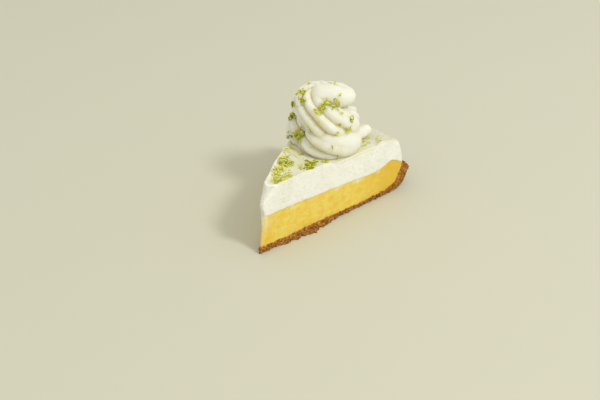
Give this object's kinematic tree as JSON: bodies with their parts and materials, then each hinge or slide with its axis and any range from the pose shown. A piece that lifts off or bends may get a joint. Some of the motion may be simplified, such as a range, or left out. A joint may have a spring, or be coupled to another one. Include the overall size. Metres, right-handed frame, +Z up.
{
  "type": "slice of key lime pie",
  "caption": "Wedge-shaped slice of key lime pie: crumb crust with a turned-up rim, lime filling, cream layer with zest, and a piped swirl of cream on top.",
  "frame": {"origin": "on the surface the slice rests on, under the middle of its bounding box", "axes": "+X from the slice's point towards its rim, +Y across the slice, +Z up"},
  "size_m": [0.1142, 0.071, 0.0716],
  "materials": {
    "crust": "baked golden-brown crumb, rough and dull",
    "filling": "smooth yellow custard with a soft sheen and fine pores",
    "cream": "whipped cream, ivory white and soft"
  },
  "bodies": {
    "root": {"crumb_crust": "crust", "lime_filling": "filling", "cream_layer": "cream", "cream_swirl": "cream"}
  },
  "joints": []
}
